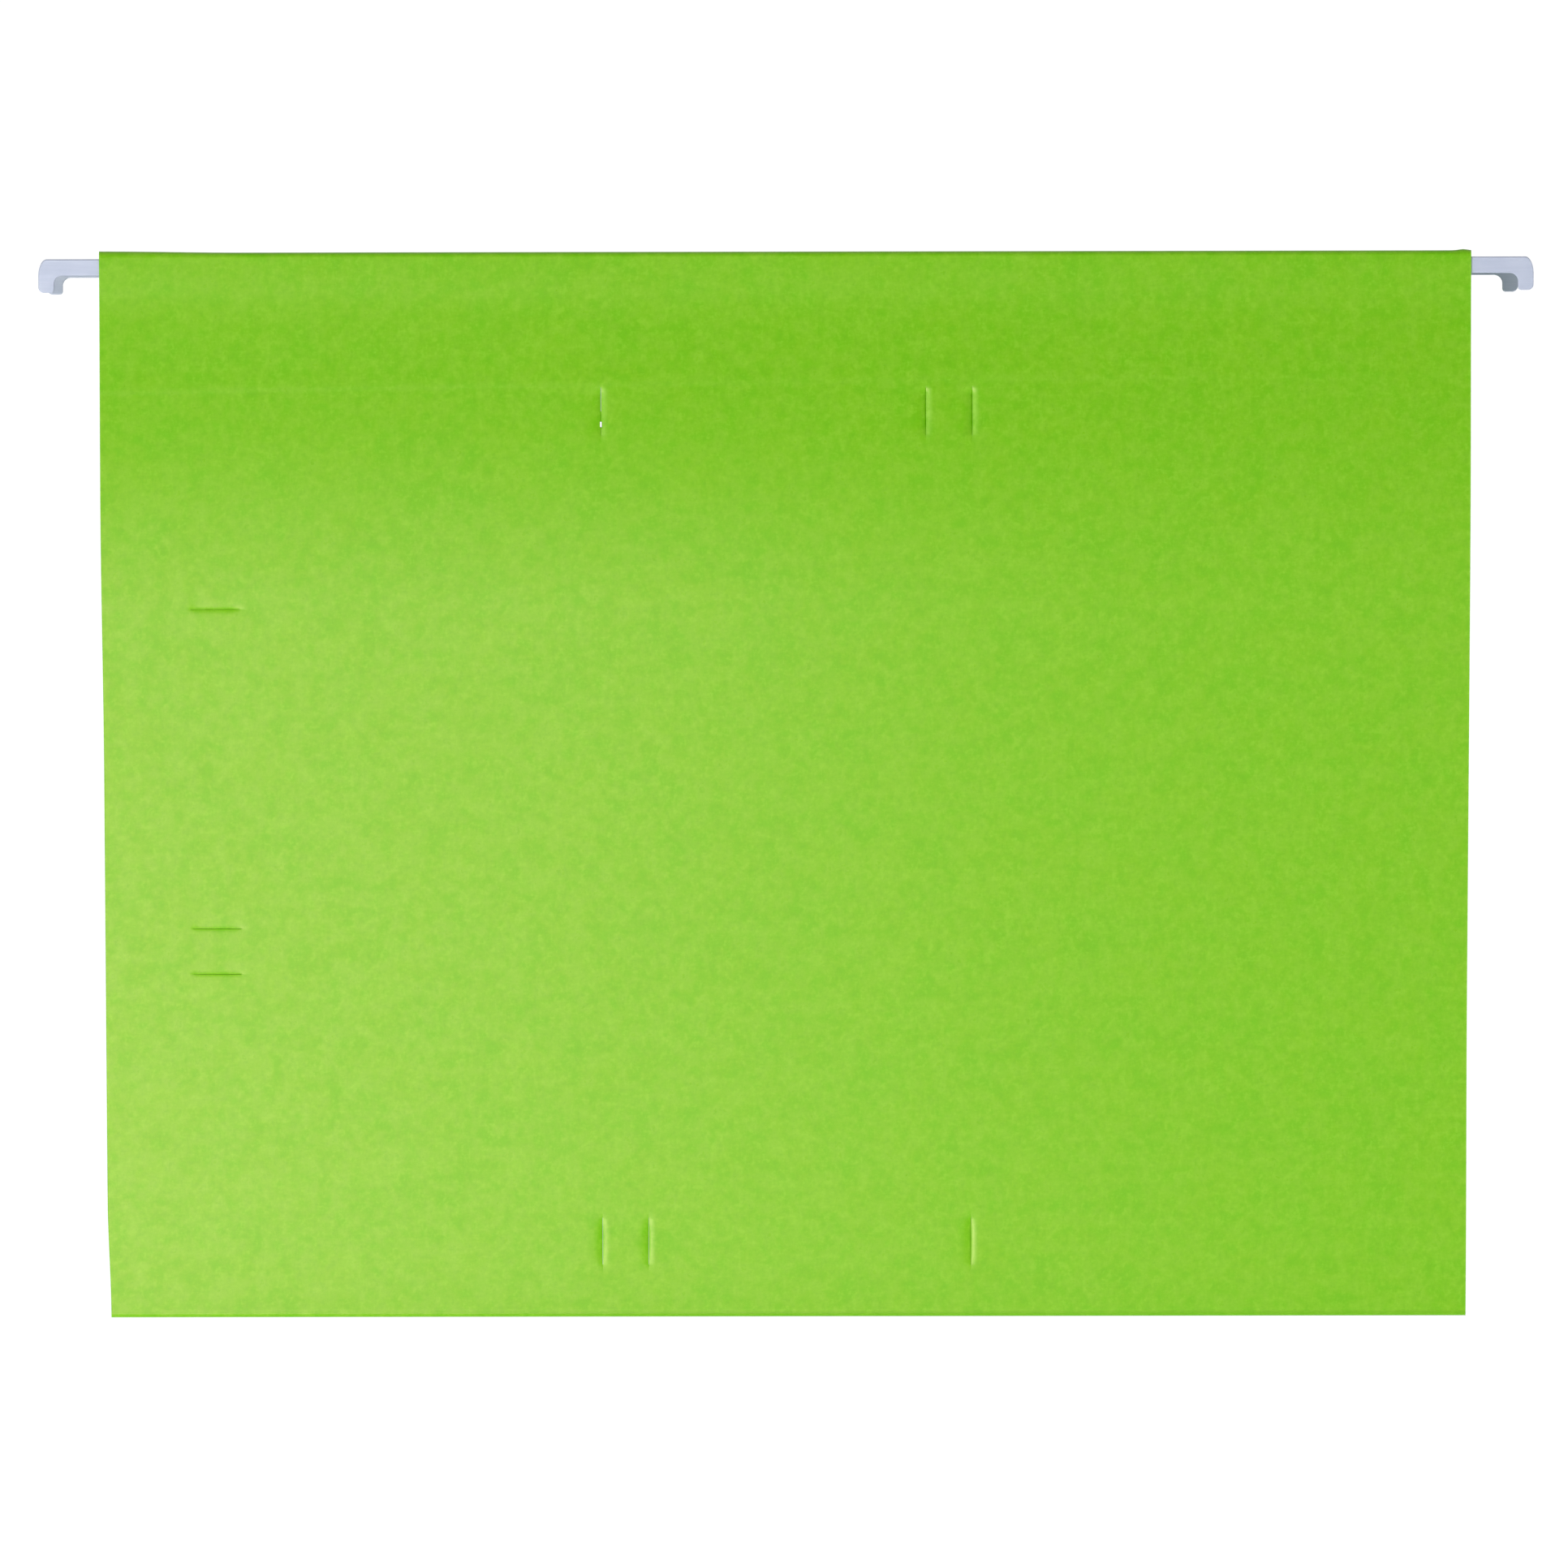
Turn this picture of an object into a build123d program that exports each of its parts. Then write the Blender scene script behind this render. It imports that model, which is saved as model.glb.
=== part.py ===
"""Hanging file folder: a creased card sheet that hangs from two rails by hooked steel strips.

X runs along the strips, -Y is the front and +Z is up. The origin lies midway between the two
strips, level with the undersides of the hook arms that rest on the rails. Millimetres.

Each cover is drawn in its own plane: heights run up the cover from the fold axis, and
depths run outward from the fold axis, so the inner side of a cover has the smaller depth.
"""

import os
from math import asin, atan2, cos, hypot, sin

from build123d import *

# Card sheet
card_width = 295.0
card_height = 232.2  # fold axis to the top of the hem
card_thickness = 0.4
fold_clearance = 0.05  # keeps the covers off the fold axis that they turn about
fold_round = 0.3  # outer edge of the crease

# Hem: the card rolls over the strip and comes down inside as a glued flap
pocket_clearance = 0.1  # between strip and card, on each side
hem_depth = 28.0  # top of the hem to the lower edge of the flap
neck_height = 4.0  # height in which the flap closes back onto the cover
glue_thickness = 0.1
glue_height = 8.0
glue_margin = 1.0  # from the lower edge of the flap
glue_end_margin = 5.0  # from each end of the hem

# Slits for two-prong fasteners of two hole spacings
slit_length = 10.0
slit_width = 0.3
wide_spacing = 80.0
narrow_spacing = 70.0
top_slit_depth = 35.0  # top of the hem to the middle of the upper slits
bottom_slit_height = 16.4  # fold to the middle of the lower slits
side_slit_inset = 24.3  # left edge to the middle of the side slits
side_slit_height = 115.2  # fold to the middle of the wide pair of side slits

# Slots for index tabs, in the rear cover
tab_slot_count = 11
tab_row_margin = 22.5  # card edge to the middle of the end slots
tab_slot_length = 9.0
tab_slot_width = 1.0
tab_slot_depth = 16.0  # top of the hem to the middle of the slots

# Steel strips
strip_thickness = 1.0
strip_height = 7.2
strip_drop = 1.4  # top of the hem to the top of the strip
strip_edge_round = 0.2
rod_spacing = 54.0  # between the two strips at the height of the rails
seat_drop = 4.9  # top of the hem to the rail seat
notch_setback = 1.0  # how far the notch reaches in under the hem
finger_reach = 10.1  # card edge to the inner side of the finger
strip_reach = 13.5  # card edge to the end of the strip
notch_round = 1.8  # under the arm, beside the finger
notch_end_round = 0.8
shoulder_length = 1.8  # rounded top corner of the end, along the strip and down it
shoulder_height = 3.6
finger_round = 1.2  # outer corner of the finger's foot
finger_inner_round = 0.7

cut_overrun = 5.0

# Places that follow from the sizes above
half_width = card_width / 2
inner_face = fold_clearance
outer_face = inner_face + card_thickness
pocket = strip_thickness + 2 * pocket_clearance
flap_face = inner_face - pocket
flap_back = flap_face - card_thickness
strip_depth = inner_face - pocket / 2
roll_height = card_height - card_thickness - pocket / 2
strip_top = card_height - strip_drop
strip_foot = strip_top - strip_height
seat_height = card_height - seat_drop
pocket_foot = strip_foot - pocket_clearance
neck_foot = pocket_foot - neck_height
flap_foot = card_height - hem_depth
glued_face = inner_face - glue_thickness
glued_back = glued_face - card_thickness
tab_slot_pitch = (card_width - 2 * tab_row_margin) / (tab_slot_count - 1)

# Lean of each cover that sets its strip half the rod spacing from the middle
seat_radius = hypot(seat_height, strip_depth)
seat_angle = atan2(strip_depth, seat_height)
seat_lean = asin(rod_spacing / 2 / seat_radius)
lean = seat_lean - seat_angle
fold_level = -seat_radius * cos(seat_lean)


def section_plane(side):
    """Plane across a cover, x outward and y up the cover; side is -1 in front, 1 at the rear."""
    return Plane((0, 0, fold_level), x_dir=(0, side * cos(lean), -sin(lean)), z_dir=(side, 0, 0))


def cover_plane(side, depth):
    """Plane along a cover at the given depth, x along the strips and y up the cover."""
    section = section_plane(side)
    return Plane(section.from_local_coords((depth, 0, 0)), x_dir=(1, 0, 0), z_dir=section.x_dir * -side)


def sheet_section(side):
    """Section of a cover: up the card, over the strip, and down the flap."""
    with BuildSketch(section_plane(side)) as sketch:
        with BuildLine():
            Line((inner_face, fold_clearance), (inner_face, roll_height))
            roll_top = (strip_depth, roll_height + pocket / 2)
            ThreePointArc((inner_face, roll_height), roll_top, (flap_face, roll_height))
            Line((flap_face, roll_height), (flap_face, pocket_foot))
            neck_middle = ((flap_face + glued_face) / 2, (pocket_foot + neck_foot) / 2)
            ease = TangentArc((flap_face, pocket_foot), neck_middle, tangent=(0, -1))
            TangentArc(neck_middle, (glued_face, neck_foot), tangent=ease % 1)
            Line((glued_face, neck_foot), (glued_face, flap_foot))
            Line((glued_face, flap_foot), (glued_back, flap_foot))
            Line((glued_back, flap_foot), (glued_back, neck_foot))
            turn = ease % 1
            back_middle = ease @ 1 + Vector(turn.Y, -turn.X) * card_thickness
            TangentArc((glued_back, neck_foot), back_middle, tangent=(0, 1))
            TangentArc(back_middle, (flap_back, pocket_foot), tangent=turn * -1)
            Line((flap_back, pocket_foot), (flap_back, roll_height))
            ThreePointArc((flap_back, roll_height), (strip_depth, card_height), (outer_face, roll_height))
            Line((outer_face, roll_height), (outer_face, fold_clearance))
            Line((outer_face, fold_clearance), (inner_face, fold_clearance))
        make_face()
        fillet(sketch.vertices().sort_by(Axis.Y)[:2].sort_by(Axis.X)[-1], fold_round)
    return sketch.sketch


def slit_sketch(side):
    """The nine fastener slits, three to the top, three to the bottom and three to the left edge."""
    near = wide_spacing / 2 - narrow_spacing
    top_slits = card_height - top_slit_depth
    side_slits = side_slit_inset - half_width
    with BuildSketch(cover_plane(side, inner_face)) as sketch:
        with Locations((-wide_spacing / 2, top_slits), (-near, top_slits), (wide_spacing / 2, top_slits)):
            Rectangle(slit_width, slit_length)
        with Locations((0, bottom_slit_height)):
            with Locations((-wide_spacing / 2, 0), (near, 0), (wide_spacing / 2, 0)):
                Rectangle(slit_width, slit_length)
        with Locations((side_slits, side_slit_height)):
            with Locations((0, wide_spacing / 2), (0, near), (0, -wide_spacing / 2)):
                Rectangle(slit_length, slit_width)
    return sketch.sketch


def make_glue(side):
    """Band of glue between a cover and its flap."""
    with BuildPart() as glue:
        with BuildSketch(cover_plane(side, inner_face - glue_thickness / 2)):
            with Locations((0, flap_foot + glue_margin)):
                Rectangle(card_width - 2 * glue_end_margin, glue_height, align=(Align.CENTER, Align.MIN))
        extrude(amount=glue_thickness / 2, both=True)
    return glue


def make_rod(side):
    """Flat strip with a notch punched up from its lower edge near each end, which leaves the fingers."""
    notch_start = half_width - notch_setback
    finger_side = half_width + finger_reach
    strip_end = half_width + strip_reach
    shoulder_start = strip_end - shoulder_length
    shoulder_foot = strip_top - shoulder_height
    face = cover_plane(side, strip_depth)
    with BuildPart() as rod:
        with BuildSketch(face):
            with BuildLine():
                Line((0, strip_top), (shoulder_start, strip_top))
                EllipticalCenterArc(
                    (shoulder_start, shoulder_foot),
                    shoulder_length,
                    shoulder_height,
                    arc_size=90,
                )
                Line((strip_end, shoulder_foot), (strip_end, strip_foot + finger_round))
                TangentArc(
                    (strip_end, strip_foot + finger_round),
                    (strip_end - finger_round, strip_foot),
                    tangent=(0, -1),
                )
                Line((strip_end - finger_round, strip_foot), (finger_side + finger_inner_round, strip_foot))
                TangentArc(
                    (finger_side + finger_inner_round, strip_foot),
                    (finger_side, strip_foot + finger_inner_round),
                    tangent=(-1, 0),
                )
                Line((finger_side, strip_foot + finger_inner_round), (finger_side, seat_height - notch_round))
                TangentArc(
                    (finger_side, seat_height - notch_round),
                    (finger_side - notch_round, seat_height),
                    tangent=(0, 1),
                )
                Line((finger_side - notch_round, seat_height), (notch_start + notch_end_round, seat_height))
                TangentArc(
                    (notch_start + notch_end_round, seat_height),
                    (notch_start, seat_height - notch_end_round),
                    tangent=(-1, 0),
                )
                Line((notch_start, seat_height - notch_end_round), (notch_start, strip_foot))
                Line((notch_start, strip_foot), (0, strip_foot))
                mirror(about=Plane.YZ)
            make_face()
        extrude(amount=strip_thickness / 2, both=True)
        across = Axis(face.origin, face.z_dir)
        fillet(rod.faces().sort_by(across)[0].edges(), strip_edge_round)
        fillet(rod.faces().sort_by(across)[-1].edges(), strip_edge_round)
    return rod


front, rear = -1, 1

with BuildPart() as front_cover:
    extrude(sheet_section(front), amount=half_width, both=True)
    extrude(slit_sketch(front), amount=cut_overrun, both=True, mode=Mode.SUBTRACT)

with BuildPart() as rear_cover:
    extrude(sheet_section(rear), amount=half_width, both=True)
    extrude(slit_sketch(rear), amount=cut_overrun, both=True, mode=Mode.SUBTRACT)
    with BuildSketch(cover_plane(rear, inner_face)):
        with Locations((0, card_height - tab_slot_depth)):
            with GridLocations(tab_slot_pitch, 0, tab_slot_count, 1):
                Rectangle(tab_slot_length, tab_slot_width)
    extrude(amount=cut_overrun, both=True, mode=Mode.SUBTRACT)

front_hem_glue = make_glue(front)
rear_hem_glue = make_glue(rear)
front_rod = make_rod(front)
rear_rod = make_rod(rear)

pieces = {
    "front_cover": front_cover,
    "rear_cover": rear_cover,
    "front_hem_glue": front_hem_glue,
    "rear_hem_glue": rear_hem_glue,
    "front_rod": front_rod,
    "rear_rod": rear_rod,
}
os.makedirs("parts", exist_ok=True)
for node, piece in pieces.items():
    piece.part.label = node
    export_step(piece.part, f"parts/{node}.step")
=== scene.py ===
import math

import bpy
import numpy as np
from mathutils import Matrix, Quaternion, Vector


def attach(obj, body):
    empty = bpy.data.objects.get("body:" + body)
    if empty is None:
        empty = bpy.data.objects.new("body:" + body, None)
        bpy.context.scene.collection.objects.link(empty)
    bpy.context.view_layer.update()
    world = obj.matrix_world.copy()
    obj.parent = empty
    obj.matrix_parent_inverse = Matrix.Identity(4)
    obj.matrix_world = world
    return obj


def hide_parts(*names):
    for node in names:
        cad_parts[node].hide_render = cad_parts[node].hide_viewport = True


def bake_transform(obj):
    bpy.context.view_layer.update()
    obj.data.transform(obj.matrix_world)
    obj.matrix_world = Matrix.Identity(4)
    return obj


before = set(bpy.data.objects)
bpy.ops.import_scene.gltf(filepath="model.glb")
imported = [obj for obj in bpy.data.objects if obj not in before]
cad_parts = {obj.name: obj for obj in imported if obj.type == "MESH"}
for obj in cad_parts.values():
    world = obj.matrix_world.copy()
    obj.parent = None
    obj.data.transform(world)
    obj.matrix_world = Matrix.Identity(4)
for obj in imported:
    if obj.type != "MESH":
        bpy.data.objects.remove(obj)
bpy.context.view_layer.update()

# Lengths of the folder are in millimetres until its meshes are made
MM = 0.001
FRONT, REAR = -1, 1
FRONT_BODY, REAR_BODY = "front_leaf", "rear_leaf"

# Sizes as in the CAD model; heights run up a cover from the fold axis, depths outward from it
WIDTH = 295.0
HALF_WIDTH = WIDTH / 2
HEIGHT = 232.2
CARD = 0.4
INNER = 0.05  # inner side of a cover
POCKET = 1.2
STRIP_DEPTH = INNER - POCKET / 2
ROLL_R = (POCKET + CARD) / 2
ROLL_H = HEIGHT - CARD - POCKET / 2
POCKET_FOOT = HEIGHT - 8.7
NECK = 4.0
NECK_FOOT = POCKET_FOOT - NECK
FLAP_FOOT = HEIGHT - 28.0
GLUE = 0.1
SEAT_H = HEIGHT - 4.9
SPACING = 54.0
TAB_COUNT, TAB_PITCH = 11, 25.0
TAB_X = [TAB_PITCH * (i - TAB_COUNT // 2) for i in range(TAB_COUNT)]
TAB_H, TAB_L, TAB_W = HEIGHT - 16.0, 9.0, 1.0

# Lean of the covers and level of the fold axis
SEAT_R = math.hypot(SEAT_H, STRIP_DEPTH)
SEAT_LEAN = math.asin(SPACING / 2 / SEAT_R)
LEAN = SEAT_LEAN - math.atan2(STRIP_DEPTH, SEAT_H)
FOLD_Z = -SEAT_R * math.cos(SEAT_LEAN)
SIN_LEAN, COS_LEAN = math.sin(LEAN), math.cos(LEAN)

# Slits, as measured in the photograph: nearly shut, but the first one stands ajar and gapes near its foot
SLIT_L = 10.6
GAPE_W, AJAR_W, SHUT_W = 0.42, 0.10, 0.05
GAPE_FOOT, GAPE_TOP = -3.4, -2.2
NEAR_X, FAR_X = 30.0, 40.0
UPRIGHT_X = (-FAR_X, -NEAR_X, NEAR_X, FAR_X)
TOP_H, LOW_H = HEIGHT - 34.3, 16.0
TOP_SLITS = [(-FAR_X, TOP_H), (NEAR_X, TOP_H), (FAR_X, TOP_H)]
LOW_SLITS = [(-FAR_X, LOW_H), (-NEAR_X, LOW_H), (FAR_X, LOW_H)]
UPRIGHT_SLITS = TOP_SLITS + LOW_SLITS
SIDE_X = -123.2
SIDE_SLITS = [(SIDE_X, 155.2), (SIDE_X, 85.2), (SIDE_X, 75.2)]

# Lips of the slits: how deep the knife pressed each one in and how far from the slit that reaches
PRESSED = [(0.50, 0.85), (0.62, 0.85), (0.66, 0.85)]
PRESSED += [(0.32, 0.5), (0.35, 0.5), (0.34, 0.5)]
PRESSED += [(0.20, 0.55), (0.14, 0.5), (0.15, 0.45)]
LIP_OVERRUN = 0.2
UPRIGHT_TAPER, SIDE_TAPER = 2.0, 0.8
SPRUNG_OUT, SPRUNG_IN = 0.4, -0.2  # shares of the pressed depth
SPRUNG_REACH = 2.3  # times the pressed reach
LIP_SHARE = {FRONT: 1, REAR: 0.5}

# Painted highlight on the sprung right-hand lips of the upright slits
TOP_LIP_HIGHLIGHT, LOW_LIP_HIGHLIGHT = 1.25, 0.9
LIP_HIGHLIGHT_OVERRUN, LIP_HIGHLIGHT_TAPER = 0.3, 0.8
LIP_HIGHLIGHT_REACH, LIP_HIGHLIGHT_FADE = 1.4, 0.9

# The front flap was folded a little askew: its edge climbs to the right
FLAP_SLANT, FLAP_CURVE = 0.0109, 0.00003

# Bow of a cover: it bends outward under the pocket and comes back towards the crease
BULGE = 3.5
BEND, BEND_EASE, TAIL = 20.0, 1.5, 43.0
BULGE_RUN, BULGE_FADE_H = 40.0, 160.0
SLOW_WAVE, SLOW_TURN, SLOW_START = 0.30, 2.1, 0.9
FAST_WAVE, FAST_TURN, FAST_START = 0.20, 4.3, -0.6
WAVE_PHASE = {FRONT: 0.0, REAR: 1.7}
END_CURL, END_CURL_POWER = 0.25, 6
RIDGE, RIDGE_TOP, RIDGE_FADE, RIDGE_FOOT = 0.036, 5.0, 4.0, 0.5  # over the edge of the flap

# Crease: the card springs open into a bead, with a faint scored line above it
FOLD_R = 0.75  # middle of the card round the bead
FOLD_LIFT = 0.25  # middle of the bead above the fold axis
FOLD_STEPS = 12
BEAD_FADE = 9.0
SCORE, SCORE_EASE, SCORE_TOP, SCORE_FADE = 0.03, 0.4, 0.85, 0.45
CREASE_SKEW = 0.2  # lower on the right
SHADE_LEFT, SHADE_X, SHADE_RUN = 0.08, 120.0, 130.0  # painted shade along the edge of the crease, least on the left
SHADE_TOP, SHADE_FADE = 0.75, 0.5

# Die-cut ends that are a little out of true
LEFT_IN, LEFT_IN_H = 0.65, 26.0
LEFT_OUT, LEFT_OUT_H, LEFT_OUT_RUN = 0.4, 120.0, 60.0
RIGHT_OUT, RIGHT_OUT_H, RIGHT_OUT_RUN = 0.2, 70.0, 60.0
TRIM_RUN = 9.0  # how far in from the end the card is drawn along

# Top of the hem: it rises towards the left end and swells near the right one
LEFT_RISE, LEFT_RISE_X, LEFT_RISE_RUN = 0.3, 117.0, 30.0
SWELL, SWELL_X, SWELL_RUN = 0.25, 145.8, 1.3

HEM_WEAR, WALL_WEAR = 0.5, 0.5
SHARP_ANGLE = math.radians(40)

# Grid of the card
GRID_STEP, FLAP_STEP = 6.0, 4.0
SAME_LINE, NEAR_LINE = 1e-6, 0.02  # lines closer than this fall together
CUT_EDGES = (GAPE_W / 2, AJAR_W / 2, SHUT_W / 2)
BESIDE = (0.32, 0.6, 1.0, 1.5, 2.2, 3.8)
ACROSS = BESIDE + CUT_EDGES
ACROSS_SLIT = tuple(-d for d in ACROSS) + ACROSS
ALONG = (0.0, 2.2, 3.4, 4.8, SLIT_L / 2, 6.8)
ALONG_SLIT = tuple(-d for d in ALONG[1:]) + ALONG
LEFT_LINES = (-147.1, -146.0)
RIGHT_LINES = (142.0, 143.5, 144.4, 145.1, 145.8, 146.5, 147.1)
CREASE_LINES = (0.65, 0.85, 1.05, 1.3, 1.8, 3.0, 5.0, 8.0)
TAB_LINES = [TAB_H - TAB_W / 2, TAB_H + TAB_W / 2]
RIDGE_STEP = 0.5
RIDGE_LINES = [FLAP_FOOT + RIDGE_STEP * i for i in range(-6, 8)]
FLAP_LINES = [FLAP_FOOT + 0.5, FLAP_FOOT + 1.5]
HEM_LINES = (POCKET_FOOT + 2.5, POCKET_FOOT + 5.0)
NECK_STEPS, ROLL_STEPS = 8, 16


def smooth(t):
    """Eases from 0 to 1 as t does."""
    t = np.clip(t, 0.0, 1.0)
    return t * t * (3 - 2 * t)


def merged(values, gap):
    """Sorted values, with those closer than gap to the one before left out."""
    out = []
    for v in sorted(values):
        if not out or v - out[-1] > gap:
            out.append(v)
    return out


def lines(low, high, step, fixed):
    """Grid lines from low to high about step apart that hold every fixed value."""
    keys = merged([low, high] + [f for f in fixed if low < f < high], SAME_LINE)
    out = []
    for a, b in zip(keys, keys[1:]):
        n = max(1, round((b - a) / step))
        out += [a + (b - a) * i / n for i in range(n)]
    return out + [keys[-1]]


def lines_along_hem():
    fixed = [x + d for x in UPRIGHT_X for d in ACROSS_SLIT]
    fixed += [SIDE_X + d for d in ALONG_SLIT]
    fixed += [x + d for x in TAB_X for d in (-TAB_L / 2, TAB_L / 2)]
    fixed += LEFT_LINES + RIGHT_LINES
    return np.array(lines(-HALF_WIDTH, HALF_WIDTH, GRID_STEP, merged(fixed, NEAR_LINE)))


def lines_up_cover():
    fixed = [h + d for h in (TOP_H, LOW_H) for d in ALONG_SLIT]
    fixed += [h + d for _, h in SIDE_SLITS for d in ACROSS_SLIT]
    fixed += TAB_LINES + RIDGE_LINES
    fixed += CREASE_LINES + (POCKET_FOOT, NECK_FOOT)
    return lines(FOLD_LIFT, ROLL_H, GRID_STEP, merged(fixed, NEAR_LINE))


X = lines_along_hem()


def cover_rows():
    """Rows of the middle of one cover, from the flap's edge to the crease.

    A row has its zone, its depth and height, and the depth and height of its normal.
    """
    glued = INNER - GLUE - CARD / 2
    back = INNER - POCKET - CARD / 2
    flap = lines(FLAP_FOOT, NECK_FOOT, FLAP_STEP, TAB_LINES + FLAP_LINES)
    rows = [("flap", glued, h, -1.0, 0.0) for h in flap[:-1]]
    for i in range(NECK_STEPS + 1):
        t = i / NECK_STEPS
        slope = (glued - back) * 6 * t * (1 - t) / NECK
        n = math.hypot(1, slope)
        depth = glued + (back - glued) * (t * t * (3 - 2 * t))
        rows.append(("flap", depth, NECK_FOOT + NECK * t, -1 / n, -slope / n))
    rows += [("hem", back, h, -1.0, 0.0) for h in HEM_LINES]
    for i in range(ROLL_STEPS + 1):
        a = math.pi * (1 - i / ROLL_STEPS)
        c, s = math.cos(a), math.sin(a)
        rows.append(("hem", STRIP_DEPTH + ROLL_R * c, ROLL_H + ROLL_R * s, c, s))
    cover = lines_up_cover()
    rows += [("cover", INNER + CARD / 2, h, 1.0, 0.0) for h in reversed(cover[:-1])]
    return rows


def lip(x, h, side):
    """How far the card stands out beside its slits: both lips pressed in by the knife, one sprung out."""
    d = np.zeros_like(x)
    slits = [(x - xs, h - hs, UPRIGHT_TAPER) for xs, hs in UPRIGHT_SLITS]
    slits += [(hs - h, x - xs, SIDE_TAPER) for xs, hs in SIDE_SLITS]
    for (across, along, taper), (depth, reach) in zip(slits, PRESSED):
        shape = smooth((SLIT_L / 2 + LIP_OVERRUN - np.abs(along)) / taper)
        pressed = depth * np.exp(-np.abs(across) / reach)
        spring = np.where(across > 0, SPRUNG_OUT, SPRUNG_IN)
        sprung = spring * depth * np.exp(-np.abs(across) / (SPRUNG_REACH * reach))
        d += shape * (sprung - pressed) * LIP_SHARE[side]
    return d


def lip_highlight(x, h):
    """How much painted highlight pales the sprung lips of the upright slits, on their right side only."""
    w = np.zeros_like(x)
    for slits, strength in ((TOP_SLITS, TOP_LIP_HIGHLIGHT), (LOW_SLITS, LOW_LIP_HIGHLIGHT)):
        for xs, hs in slits:
            shape = strength * smooth((SLIT_L / 2 + LIP_HIGHLIGHT_OVERRUN - np.abs(h - hs)) / LIP_HIGHLIGHT_TAPER)
            w = np.maximum(w, shape * np.where(x > xs, smooth((LIP_HIGHLIGHT_REACH - x + xs) / LIP_HIGHLIGHT_FADE), 0.0))
    return w


def flap_foot(x, side):
    """Height of the lower edge of a flap."""
    askew = FLAP_SLANT * x - FLAP_CURVE * x**2
    return FLAP_FOOT + (askew if side == FRONT else np.zeros_like(x))


def bow(x, h, side):
    """The slow warp of a cover out of its plane, with the flap's ridge and the crease's bead and score."""
    below = np.maximum(POCKET_FOOT - h, 0.0)
    tail = np.clip((below - BEND) / TAIL, 0.0, 1.0)
    run = np.sqrt(np.minimum(below, BEND) ** 2 + BEND_EASE**2) - BEND_EASE
    run = run + TAIL * (tail - tail**3 + tail**4 / 2)
    rise = run / BULGE_RUN * np.clip(h / BULGE_FADE_H, 0.0, 1.0)
    u = x / HALF_WIDTH
    phase = WAVE_PHASE[side]
    slow = SLOW_WAVE * np.sin(SLOW_TURN * u + SLOW_START + phase)
    fast = FAST_WAVE * np.cos(FAST_TURN * u + FAST_START + phase)
    d = rise * (BULGE + slow + fast + END_CURL * np.abs(u) ** END_CURL_POWER)
    above = h - flap_foot(x, side)
    d = d + RIDGE * smooth((RIDGE_TOP - above) / RIDGE_FADE) * smooth(above + RIDGE_FOOT)
    from_fold = h - FOLD_LIFT
    d = d + (FOLD_R - INNER - CARD / 2) * np.exp(-from_fold / BEAD_FADE)
    return d - SCORE * smooth(from_fold / SCORE_EASE) * smooth((SCORE_TOP - from_fold) / SCORE_FADE)


def trim(x, h):
    """How far the die-cut ends are out of true: the left one drawn in near the crease and proud above."""
    left = LEFT_IN * smooth((LEFT_IN_H - h) / LEFT_IN_H)
    left = left - LEFT_OUT * smooth((h - LEFT_OUT_H) / LEFT_OUT_RUN)
    right = RIGHT_OUT * smooth((RIGHT_OUT_H - h) / RIGHT_OUT_RUN)
    near = smooth((np.abs(x) - HALF_WIDTH + TRIM_RUN) / TRIM_RUN)
    return np.where(x < 0, left, right) * near


def skew(x, h):
    """How far the crease is out of level."""
    return -CREASE_SKEW * x / HALF_WIDTH * np.clip(1 - h / HEIGHT, 0.0, 1.0)


def hem_lift(x):
    """How far the top of the hem is out of level."""
    rise = LEFT_RISE * smooth((-x - LEFT_RISE_X) / LEFT_RISE_RUN)
    return rise + SWELL * np.exp(-(((x - SWELL_X) / SWELL_RUN) ** 2))


def painted_crease_shade(x):
    """How much painted shade darkens the edge of the crease along its length."""
    return SHADE_LEFT + (1 - SHADE_LEFT) * smooth((x + SHADE_X) / SHADE_RUN)


def slit_width(index, along):
    """Gap of an upright slit at a height from its middle."""
    if index == 0 and GAPE_FOOT < along < GAPE_TOP:
        return GAPE_W
    return AJAR_W if index == 0 and along > 0.0 else SHUT_W


def card_stack():
    """Rows of the whole sheet: front flap, hem and cover, round the crease, and up the rear to its flap.

    A row of the crease has the angle round it in the place of the depth.
    """
    rows = cover_rows()
    stack = [(FRONT,) + row for row in rows]
    stack += [(0, "fold", math.pi * i / FOLD_STEPS, 0.0, 0.0, 0.0) for i in range(1, FOLD_STEPS)]
    return stack + [(REAR,) + row for row in reversed(rows)]


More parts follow.
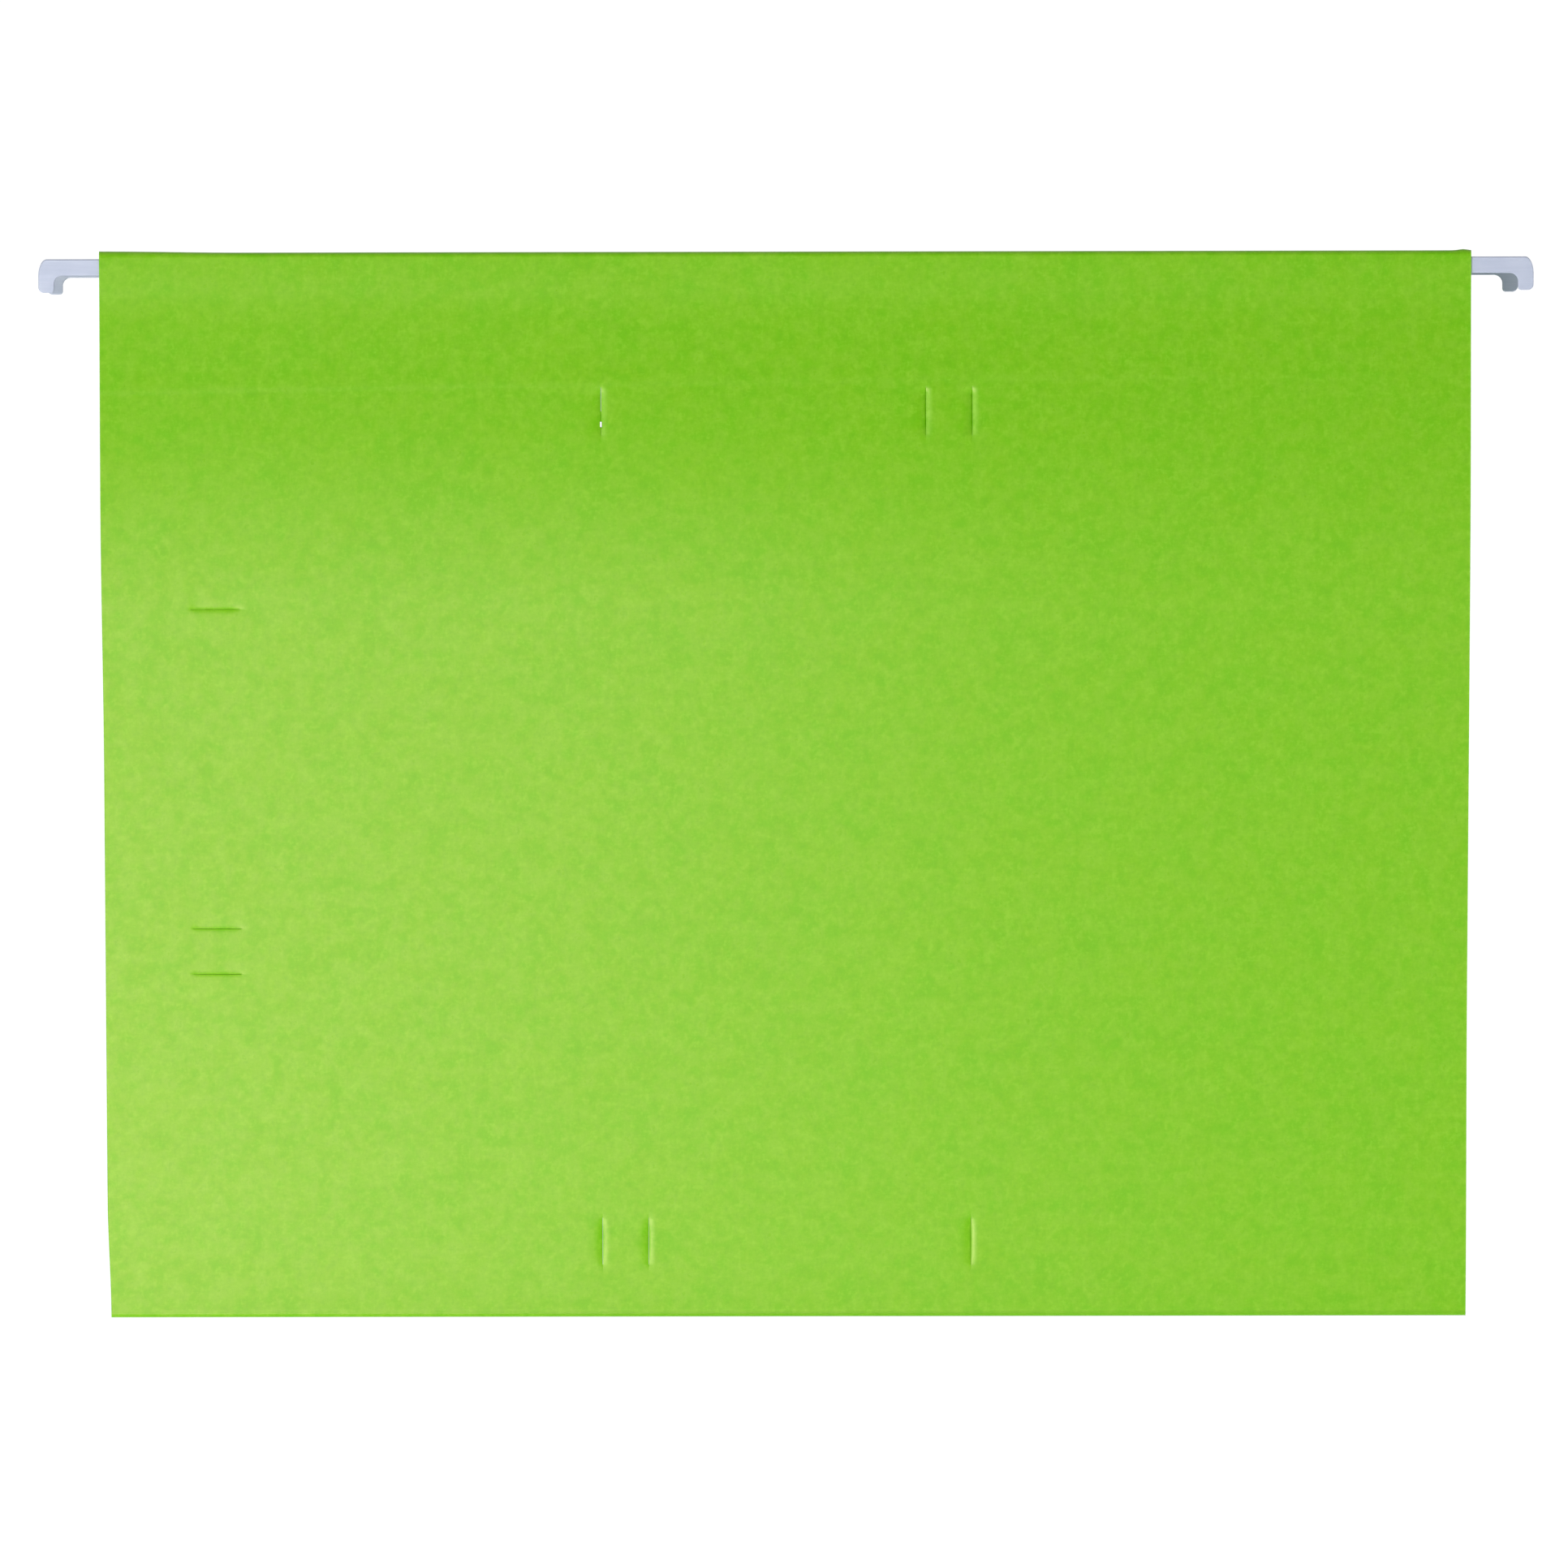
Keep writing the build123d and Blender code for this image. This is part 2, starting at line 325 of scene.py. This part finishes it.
def card_middle(stack):
    """Points in the middle of the sheet, its normals, its wear with the painted lip highlights, and how
    much painted shade darkens it along the crease.
    """
    shape = (len(stack), len(X))
    middle = np.zeros(shape + (3,))
    normal = np.zeros(shape + (3,))
    wear_and_highlight = np.zeros(shape)
    painted_shade = np.zeros(shape)
    for r, (side, zone, depth, height, normal_d, normal_h) in enumerate(stack):
        if zone == "fold":
            c, s = -math.cos(depth), -math.sin(depth)
            middle[r, :, 0] = X + trim(X, 0.0)
            middle[r, :, 1] = FOLD_R * c
            middle[r, :, 2] = FOLD_Z + FOLD_LIFT + FOLD_R * s - abs(c) * FOLD_R * SIN_LEAN + skew(X, 0.0)
            normal[r, :, 1:] = c, s
            # Painted shade along the crease
            painted_shade[r] = painted_crease_shade(X)
            continue
        h = np.full(len(X), height)
        d = np.full(len(X), depth)
        if zone == "flap":
            share = np.clip((NECK_FOOT - h) / (NECK_FOOT - FLAP_FOOT), 0.0, 1.0)
            h = h + (flap_foot(X, side) - FLAP_FOOT) * share
        if zone in ("cover", "flap"):
            d = d + bow(X, h, side)
        if zone == "cover":
            d = d + lip(X, h, side)
            # Painted highlight on the sprung lips of the slits
            wear_and_highlight[r] = lip_highlight(X, h)
            # Painted shade fading up the cover from the crease
            painted_shade[r] = painted_crease_shade(X) * smooth((SHADE_TOP - height) / SHADE_FADE)
        middle[r, :, 0] = X + trim(X, h)
        middle[r, :, 1] = side * (h * SIN_LEAN + d * COS_LEAN)
        middle[r, :, 2] = FOLD_Z + h * COS_LEAN - d * SIN_LEAN + skew(X, h)
        normal[r, :, 1] = side * (normal_h * SIN_LEAN + normal_d * COS_LEAN)
        normal[r, :, 2] = normal_h * COS_LEAN - normal_d * SIN_LEAN
        if zone == "hem":
            upward = max(0.0, normal_h)
            middle[r, :, 2] += upward * hem_lift(X)
            wear_and_highlight[r] = HEM_WEAR * upward**2
    return middle, normal, wear_and_highlight, painted_shade


def card_cells(stack):
    """Which cells of the grid hold card: all but the slits and the rear's tab slots."""
    present = np.ones((len(stack) - 1, len(X) - 1), bool)
    x_mid = (X[:-1] + X[1:]) / 2
    for r, (row, following) in enumerate(zip(stack, stack[1:])):
        side, zone = row[:2]
        if side == 0 or (side, zone) != following[:2]:
            continue
        h_mid = (row[3] + following[3]) / 2
        if zone == "cover":
            for n, (xs, hs) in enumerate(UPRIGHT_SLITS):
                if abs(h_mid - hs) < SLIT_L / 2:
                    present[r, np.abs(x_mid - xs) < slit_width(n, h_mid - hs) / 2] = False
            for xs, hs in SIDE_SLITS:
                if abs(h_mid - hs) < SHUT_W / 2:
                    present[r, np.abs(x_mid - xs) < SLIT_L / 2] = False
        if side == REAR and zone in ("cover", "flap") and abs(h_mid - TAB_H) < TAB_W / 2:
            for xs in TAB_X:
                present[r, np.abs(x_mid - xs) < TAB_L / 2] = False
    return present


def card_faces(present):
    """Faces of both sides of the sheet and of the walls round its cuts, and which points have a wall.

    The points of the inner side come after all those of the outer side.
    """
    columns = present.shape[1] + 1
    count = (present.shape[0] + 1) * columns
    held = np.pad(present, 1)
    faces = []
    wall = np.zeros(count, bool)
    for r, c in np.argwhere(present).tolist():
        a = r * columns + c
        b, e, f = a + 1, a + columns + 1, a + columns
        faces.append((a, f, e, b))
        faces.append((a + count, b + count, e + count, f + count))
        for down, right, p, q in ((-1, 0, a, b), (0, 1, b, e), (1, 0, e, f), (0, -1, f, a)):
            if not held[r + 1 + down, c + 1 + right]:
                faces.append((p, q, q + count, p + count))
                wall[[p, q]] = True
    return np.array(faces), wall


def add_object(name, mesh):
    obj = bpy.data.objects.new(name, mesh)
    bpy.context.scene.collection.objects.link(obj)
    return obj


def make_card():
    """The whole sheet as one closed mesh, with attributes for its worn parts with the painted lip
    highlights, cut rim and painted shade along the crease.
    """
    stack = card_stack()
    middle, normal, wear_and_highlight, painted_shade = card_middle(stack)
    faces, wall = card_faces(card_cells(stack))
    half = normal * CARD / 2
    points = np.concatenate([(middle + half).reshape(-1, 3), (middle - half).reshape(-1, 3)]) * MM
    used = np.zeros(len(points), bool)
    used[faces] = True
    index = np.cumsum(used) - 1
    mesh = bpy.data.meshes.new("card_sheet")
    mesh.from_pydata(points[used].tolist(), [], index[faces].tolist())
    rim = np.zeros_like(wear_and_highlight)
    rim[:, [0, -1]] = 1.0
    rim[[0, -1], :] = 1.0
    wear_and_highlight = np.maximum(wear_and_highlight, WALL_WEAR * wall.reshape(wear_and_highlight.shape))
    for name, value in (("wear_and_highlight", wear_and_highlight), ("cut", rim), ("crease", painted_shade)):
        layer = mesh.attributes.new(name, "FLOAT", "POINT")
        layer.data.foreach_set("value", np.tile(value.reshape(-1), 2)[used].astype(np.float32))
    mesh.validate()
    mesh.update()
    mesh.shade_smooth()
    mesh.set_sharp_from_angle(angle=SHARP_ANGLE)
    return add_object("card_sheet", mesh)


# Bands of glue, with uneven edges
BAND_END, BAND_COLUMNS, BAND_ROWS = 142.5, 58, 5
BAND_FOOT, BAND_TOP = 1.6, 8.4  # above the edge of the flap
BAND_GAP = 0.004  # to the card on each side
BAND_PHASE = {FRONT: 0.7, REAR: 2.9}
LONG_SWAY, LONG_SWAY_RUN = 0.35, 11.0
SHORT_SWAY, SHORT_SWAY_RUN = 0.25, 4.3


def make_glue(side, name):
    """Band of glue between a cover and its flap, following the warp of the card."""
    x = np.linspace(-BAND_END, BAND_END, BAND_COLUMNS)
    phase = BAND_PHASE[side]
    sway = LONG_SWAY * np.sin(x / LONG_SWAY_RUN + phase)
    sway = sway + SHORT_SWAY * np.sin(x / SHORT_SWAY_RUN + 2 * phase)
    low = flap_foot(x, side) + BAND_FOOT + sway
    high = flap_foot(x, side) + BAND_TOP - sway[::-1]
    points = []
    for face in (INNER - BAND_GAP, INNER - GLUE + BAND_GAP):
        for share in np.linspace(0.0, 1.0, BAND_ROWS):
            h = low + (high - low) * share
            d = face + bow(x, h, side)
            y = side * (h * SIN_LEAN + d * COS_LEAN)
            z = FOLD_Z + h * COS_LEAN - d * SIN_LEAN
            points.append(np.stack([x, y, z], axis=1))
    grid = np.arange(BAND_ROWS * BAND_COLUMNS).reshape(BAND_ROWS, BAND_COLUMNS)
    size = grid.size
    faces = []
    for k in range(BAND_ROWS - 1):
        for a, b, e, f in zip(grid[k], grid[k, 1:], grid[k + 1, 1:], grid[k + 1]):
            faces += [(a, b, e, f), (a + size, f + size, e + size, b + size)]
    rim = np.concatenate([grid[0], grid[1:, -1], grid[-1, -2::-1], grid[-2:0:-1, 0]])
    faces += [(p, p + size, q + size, q) for p, q in zip(rim, np.roll(rim, -1))]
    if side == REAR:
        faces = [face[::-1] for face in faces]
    mesh = bpy.data.meshes.new(name)
    mesh.from_pydata((np.concatenate(points) * MM).tolist(), [], np.array(faces).tolist())
    mesh.validate()
    mesh.update()
    return add_object(name, mesh)


class Nodes:
    """Short-hand for making the nodes of a material or a world."""

    def __init__(self, owner):
        owner.use_nodes = True
        self.owner = owner
        self.tree = owner.node_tree
        self.shader = self.tree.nodes.get("Principled BSDF")

    def add(self, kind, **values):
        node = self.tree.nodes.new(kind)
        for key, value in values.items():
            setattr(node, key, value)
        return node

    def link(self, a, b):
        self.tree.links.new(a, b)

    def set(self, socket, value):
        """Links a value that is a socket and sets one that is a constant."""
        if isinstance(value, bpy.types.NodeSocket):
            self.link(value, socket)
        else:
            socket.default_value = value

    def position(self, scale=(1, 1, 1), turn=(0, 0, 0)):
        coordinates = self.add("ShaderNodeTexCoord")
        mapping = self.add("ShaderNodeMapping")
        self.set(mapping.inputs["Scale"], scale)
        self.set(mapping.inputs["Rotation"], turn)
        self.link(coordinates.outputs["Object"], mapping.inputs["Vector"])
        return mapping.outputs["Vector"]

    def noise(self, vector, scale=1.0, detail=3.0, rough=0.55, distortion=0.0):
        node = self.add("ShaderNodeTexNoise")
        self.set(node.inputs["Scale"], scale)
        self.set(node.inputs["Detail"], detail)
        self.set(node.inputs["Roughness"], rough)
        self.set(node.inputs["Distortion"], distortion)
        self.link(vector, node.inputs["Vector"])
        return node.outputs["Fac"]

    def attribute(self, name):
        return self.add("ShaderNodeAttribute", attribute_name=name).outputs["Fac"]

    def ramp(self, value, low, high, to_low=0.0, to_high=1.0):
        node = self.add("ShaderNodeMapRange")
        self.set(node.inputs["From Min"], low)
        self.set(node.inputs["From Max"], high)
        self.set(node.inputs["To Min"], to_low)
        self.set(node.inputs["To Max"], to_high)
        self.link(value, node.inputs["Value"])
        return node.outputs["Result"]

    def mix(self, factor, a, b):
        node = self.add("ShaderNodeMix", data_type="RGBA")
        self.set(node.inputs[0], factor)
        self.set(node.inputs[6], a)
        self.set(node.inputs[7], b)
        return node.outputs[2]

    def math(self, operation, a, b):
        node = self.add("ShaderNodeMath", operation=operation)
        self.set(node.inputs[0], a)
        self.set(node.inputs[1], b)
        return node.outputs[0]

    def bump(self, height, strength, distance, base=None):
        node = self.add("ShaderNodeBump")
        self.set(node.inputs["Strength"], strength)
        self.set(node.inputs["Distance"], distance)
        self.link(height, node.inputs["Height"])
        if base:
            self.link(base, node.inputs["Normal"])
        return node.outputs["Normal"]

    def sees_background(self):
        """1 for the rays that show the white background: from the camera, through glass and off gloss."""
        ray = self.add("ShaderNodeLightPath")
        direct = self.math("MAXIMUM", ray.outputs["Is Camera Ray"], ray.outputs["Is Transmission Ray"])
        return self.math("MAXIMUM", direct, ray.outputs["Is Glossy Ray"])


def card_material():
    """Dyed card: cloudy fibre mottle, a soft calendered sheen, paler worn cut walls and hem top, a painted
    highlight on the slit lips, painted shade along the crease, matt cut ends.
    """
    deep_green, mid_green = (0.151, 0.472, 0.0001, 1), (0.178, 0.477, 0.0015, 1)
    pale_mottle, dark_mottle = (0.205, 0.494, 0.0140, 1), (0.129, 0.456, 0.0001, 1)
    pale_speck, dark_speck = (0.240, 0.550, 0.0200, 1), (0.127, 0.415, 0.0001, 1)
    pale_fibre, dark_fibre = (0.240, 0.541, 0.0200, 1), (0.118, 0.410, 0.0001, 1)
    # Painted shade for the crease, and pale green for real wear and the painted highlight on the slit lips
    painted_crease_green, wear_and_highlight_green = (0.110, 0.355, 0.0001, 1), (0.330, 0.640, 0.070, 1)
    m = Nodes(bpy.data.materials.new("card"))
    p = m.position()
    clouds = m.noise(p, scale=95.0, rough=0.6)
    mottle = m.noise(p, scale=300.0, detail=4.0, rough=0.6)
    specks = m.noise(p, scale=720.0, rough=0.6)
    grain = m.noise(p, scale=950.0, rough=0.6)
    fibre_up = m.noise(m.position(scale=(800, 800, 2600), turn=(0, 0.5, 0)), rough=0.6, distortion=0.4)
    fibre_along = m.noise(m.position(scale=(2600, 800, 800), turn=(0, 0.35, 0)), rough=0.6, distortion=0.4)
    fibre = m.math("MULTIPLY", m.math("ADD", fibre_up, fibre_along), 0.5)
    colour = m.mix(m.ramp(clouds, 0.36, 0.64), deep_green, mid_green)
    colour = m.mix(m.ramp(mottle, 0.40, 0.64, to_high=0.75), colour, pale_mottle)
    colour = m.mix(m.ramp(mottle, 0.32, 0.48, to_low=0.5, to_high=0.0), colour, dark_mottle)
    colour = m.mix(m.ramp(specks, 0.53, 0.68, to_high=0.5), colour, pale_speck)
    colour = m.mix(m.ramp(specks, 0.32, 0.47, to_low=0.4, to_high=0.0), colour, dark_speck)
    colour = m.mix(m.ramp(fibre, 0.53, 0.63, to_high=0.35), colour, pale_fibre)
    colour = m.mix(m.ramp(fibre, 0.36, 0.46, to_low=0.22, to_high=0.0), colour, dark_fibre)
    # Painted shade along the crease, strongest on the right
    colour = m.mix(m.math("MULTIPLY", m.attribute("crease"), 0.5), colour, painted_crease_green)
    # Paler where worn, and a painted highlight on the sprung lips of the slits
    wear_and_highlight = m.math("MULTIPLY", m.attribute("wear_and_highlight"), m.ramp(mottle, 0.35, 0.7, to_low=0.2, to_high=0.7))
    m.link(m.mix(wear_and_highlight, colour, wear_and_highlight_green), m.shader.inputs["Base Color"])
    sheen = m.ramp(mottle, 0.3, 0.7, to_low=0.33, to_high=0.27)
    matt = m.ramp(m.attribute("cut"), 0.2, 1.0, to_high=0.9)
    m.link(m.math("MAXIMUM", sheen, matt), m.shader.inputs["Roughness"])
    m.shader.inputs["Specular IOR Level"].default_value = 0.31
    m.shader.inputs["Specular Tint"].default_value = (1.0, 0.60, 0.50, 1)
    normal = m.bump(grain, strength=0.20, distance=0.00005)
    normal = m.bump(fibre, strength=0.15, distance=0.00006, base=normal)
    normal = m.bump(clouds, strength=0.25, distance=0.0001, base=normal)
    m.link(normal, m.shader.inputs["Normal"])
    return m.owner


def steel_material():
    """Pale lacquered steel strip: fine rolling lines under a thin coat."""
    grey, pale_grey = (0.422, 0.446, 0.537, 1), (0.460, 0.482, 0.567, 1)
    line_grey, edge_grey = (0.386, 0.415, 0.503, 1), (0.509, 0.536, 0.605, 1)
    m = Nodes(bpy.data.materials.new("steel"))
    rolled = m.noise(m.position(scale=(90, 2400, 2400)), detail=4.0, rough=0.6)
    cloud = m.noise(m.position(), scale=220.0, distortion=0.6)
    colour = m.mix(m.ramp(cloud, 0.3, 0.7), grey, pale_grey)
    colour = m.mix(m.ramp(rolled, 0.35, 0.65, to_high=0.35), colour, line_grey)
    edges = m.add("ShaderNodeNewGeometry").outputs["Pointiness"]
    colour = m.mix(m.ramp(edges, 0.505, 0.56, to_high=0.4), colour, edge_grey)
    m.link(colour, m.shader.inputs["Base Color"])
    m.shader.inputs["Metallic"].default_value = 0.15
    m.link(m.ramp(rolled, 0.3, 0.7, to_low=0.54, to_high=0.66), m.shader.inputs["Roughness"])
    m.link(m.bump(rolled, strength=0.12, distance=0.00003), m.shader.inputs["Normal"])
    return m.owner


def glue_material():
    """Dried glue, cream and streaky."""
    amber, cream = (0.62, 0.56, 0.36, 1), (0.80, 0.75, 0.58, 1)
    m = Nodes(bpy.data.materials.new("glue"))
    streak = m.noise(m.position(scale=(60, 400, 400)), rough=0.5, distortion=0.5)
    gloss = m.noise(m.position(), scale=500.0)
    m.link(m.mix(m.ramp(streak, 0.3, 0.7), amber, cream), m.shader.inputs["Base Color"])
    m.link(m.ramp(gloss, 0.3, 0.7, to_low=0.28, to_high=0.5), m.shader.inputs["Roughness"])
    m.link(m.bump(streak, strength=0.2, distance=0.0001), m.shader.inputs["Normal"])
    return m.owner


def dress(node, material):
    """Gives a CAD node its material."""
    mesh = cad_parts[node].data
    mesh.materials.clear()
    mesh.materials.append(material)


card = make_card()
card.data.materials.append(card_material())
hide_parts("front_cover", "rear_cover")
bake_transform(card)

steel = steel_material()
glue = glue_material()
for row, side, body in (("front", FRONT, FRONT_BODY), ("rear", REAR, REAR_BODY)):
    dress(f"{row}_rod", steel)
    dress(f"{row}_hem_glue", glue)
    band = make_glue(side, f"{row}_glue_band")
    band.data.materials.append(glue)
    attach(band, body)
    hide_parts(f"{row}_hem_glue")

# Floor, in metres
FLOOR_Z, FLOOR_HALF = -1.30, 14.0


def floor_material():
    """Pale floor that shows as white."""
    m = Nodes(bpy.data.materials.new("floor"))
    m.shader.inputs["Base Color"].default_value = (0.86, 0.86, 0.86, 1)
    m.shader.inputs["Roughness"].default_value = 0.9
    m.shader.inputs["Emission Color"].default_value = (1, 1, 1, 1)
    m.link(m.math("MULTIPLY", m.sees_background(), 0.88), m.shader.inputs["Emission Strength"])
    return m.owner


def make_floor():
    corners = [(-1, -1), (1, -1), (1, 1), (-1, 1)]
    mesh = bpy.data.meshes.new("floor")
    mesh.from_pydata([(FLOOR_HALF * x, FLOOR_HALF * y, FLOOR_Z) for x, y in corners], [], [(0, 1, 2, 3)])
    mesh.materials.append(floor_material())
    return add_object("floor", mesh)


make_floor()


def make_world():
    """White background, and the light of a white backdrop behind the object in a dimmer, cooler room."""
    room_tint, white = (0.84, 0.97, 1.12, 1), (1, 1, 1, 1)
    world = bpy.data.worlds.new("studio")
    w = Nodes(world)
    background = w.tree.nodes["Background"]
    seen = w.sees_background()
    toward = w.add("ShaderNodeSeparateXYZ")
    w.link(w.add("ShaderNodeTexCoord").outputs["Generated"], toward.inputs[0])
    backdrop = w.ramp(toward.outputs["Y"], 0.0, 0.6, to_low=0.26, to_high=1.05)
    w.link(w.math("MAXIMUM", seen, backdrop), background.inputs["Strength"])
    w.link(w.mix(seen, room_tint, white), background.inputs["Color"])
    return world


bpy.context.scene.world = make_world()


def area_light(name, place, aim, size, power):
    data = bpy.data.lights.new(name, "AREA")
    data.shape = "RECTANGLE"
    data.size, data.size_y = size
    data.energy = power
    light = add_object(name, data)
    light.location = place
    light.rotation_euler = (Vector(aim) - Vector(place)).to_track_quat("-Z", "Y").to_euler()


# Lights, in metres and watts
area_light("key", place=(-0.53, -1.70, -0.85), aim=(0.0, 0.0, -0.12), size=(0.94, 0.75), power=28.4)
area_light("fill", place=(2.2, -2.6, 0.2), aim=(0.0, 0.0, -0.1), size=(1.6, 1.6), power=2.0)
area_light("top", place=(0.0, -0.2, 2.0), aim=(0.0, 0.0, 0.0), size=(1.8, 1.8), power=4.0)
area_light("back", place=(1.3, 1.9, -0.45), aim=(0.0, 0.0, -0.12), size=(0.9, 0.9), power=20.0)

# Camera, fitted to the photograph: level with the upper part of the folder, through a long lens
CAMERA_PLACE = (-0.0434, -3.20, -0.0270)
PITCH, YAW, ROLL = math.radians(1.495), math.radians(0.770), math.radians(-0.120)
FOCAL = 18148.0 / 1932.0  # in widths of the picture
SENSOR = 36.0


def make_camera():
    data = bpy.data.cameras.new("camera")
    data.sensor_width = SENSOR
    data.sensor_height = SENSOR
    data.lens = SENSOR * FOCAL
    data.clip_start = 0.05
    data.clip_end = 60.0
    camera = add_object("camera", data)
    camera.location = CAMERA_PLACE
    look = Vector((math.sin(YAW), math.cos(YAW), -math.tan(PITCH)))
    camera.rotation_mode = "QUATERNION"
    camera.rotation_quaternion = look.to_track_quat("-Z", "Y") @ Quaternion((0, 0, 1), ROLL)
    return camera


bpy.context.scene.camera = make_camera()
bpy.context.scene.view_settings.view_transform = "Standard"
